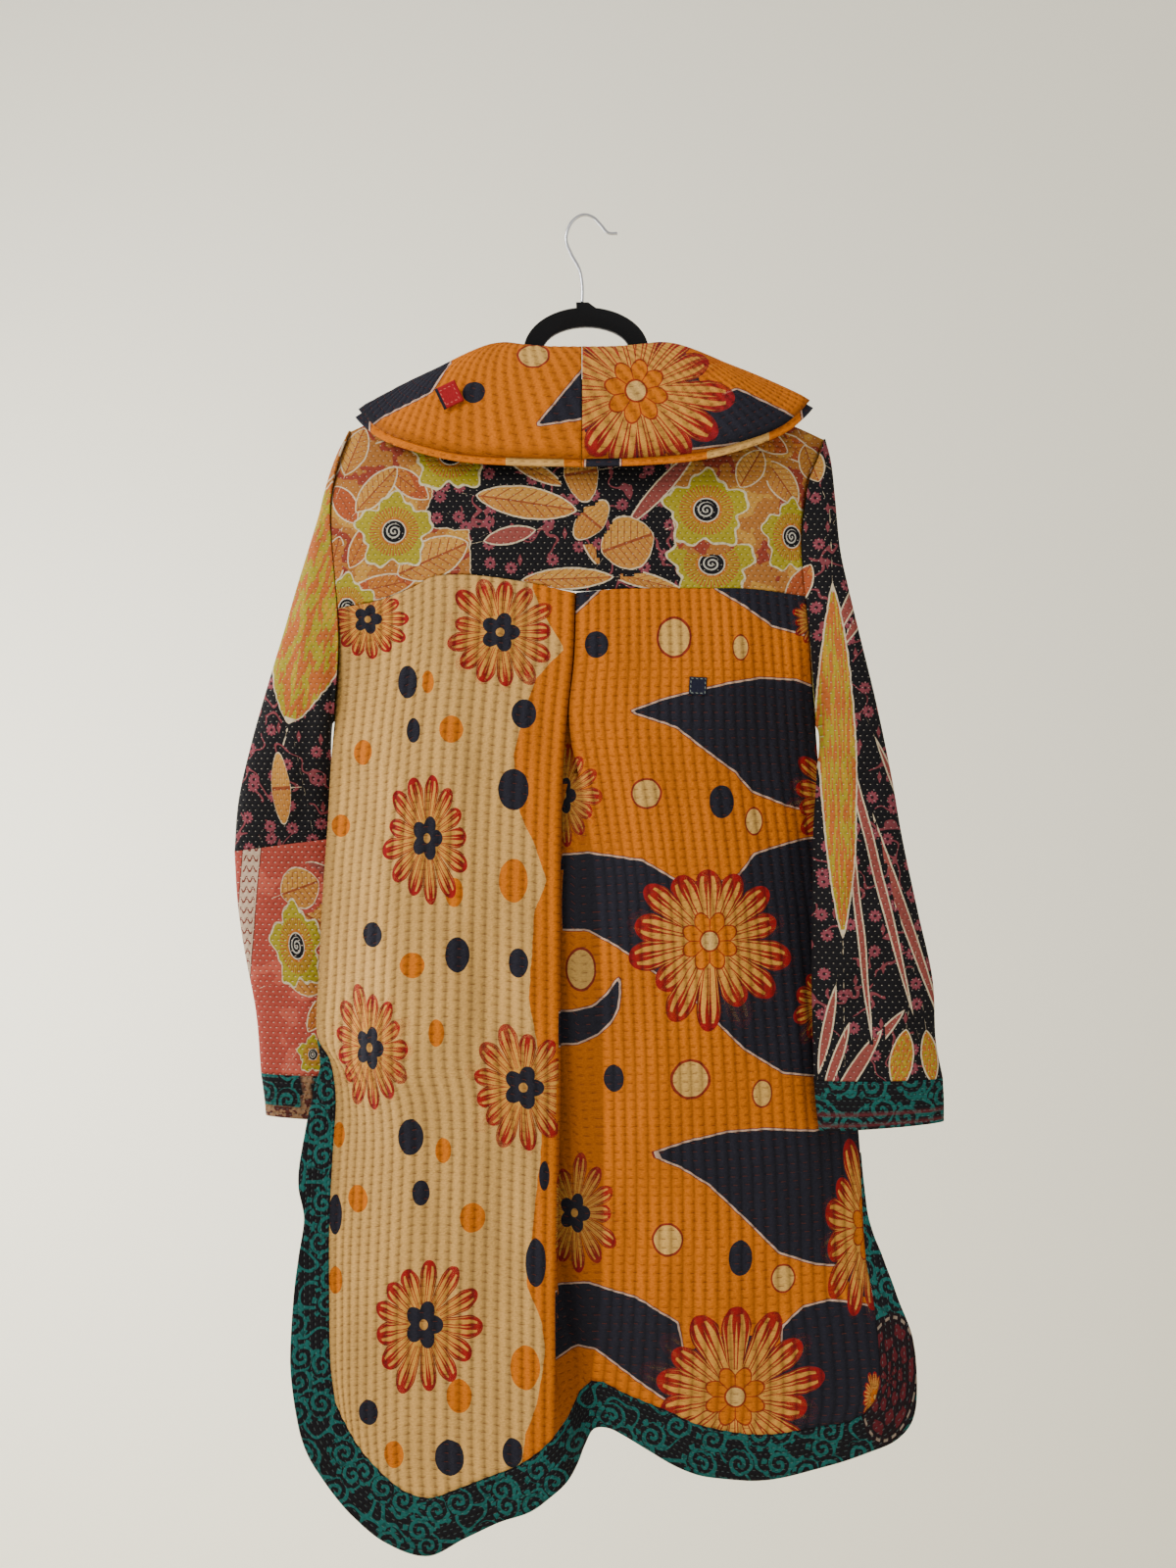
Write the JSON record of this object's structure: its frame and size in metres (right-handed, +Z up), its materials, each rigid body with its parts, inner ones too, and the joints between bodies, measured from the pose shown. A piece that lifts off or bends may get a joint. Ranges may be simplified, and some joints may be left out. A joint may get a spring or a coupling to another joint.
{
  "type": "kantha coat on a hanger",
  "caption": "Knee-length quilted kantha patchwork coat with a wide shawl collar, pleated back and rounded bordered hem, hanging on a slim flocked hanger.",
  "frame": {"origin": "the inside of the top of the hanger's hook, where it hangs", "axes": "+Z up, +X to the wearer's right, +Y out of the coat's front; the back of the coat faces -Y"},
  "size_m": [0.7008, 0.12, 1.3037],
  "materials": {
    "quilted_print": "printed cotton, hand quilted in running stitch",
    "dark_print": "dark printed cotton with fine running stitch",
    "coral_print": "printed cotton with fine running stitch",
    "teal_border": "block printed cotton",
    "red_patch": "plain woven cotton",
    "black_flock": "black velvet flocking",
    "chrome": "bright plated wire"
  },
  "bodies": {
    "root": {"back_yoke": "quilted_print", "back_panel": "quilted_print", "front_left": "quilted_print", "front_right": "quilted_print", "back_border": "teal_border", "sleeve_left_upper": "quilted_print", "sleeve_left_lower": "coral_print", "sleeve_right": "dark_print", "cuff_left": "teal_border", "cuff_right": "teal_border", "collar_left": "quilted_print", "collar_right": "quilted_print", "under_collar_left": "quilted_print", "under_collar_right": "quilted_print", "patch_back": "dark_print", "patch_collar": "red_patch", "hanger_body": "black_flock", "hanger_hook": "chrome"}
  },
  "joints": []
}
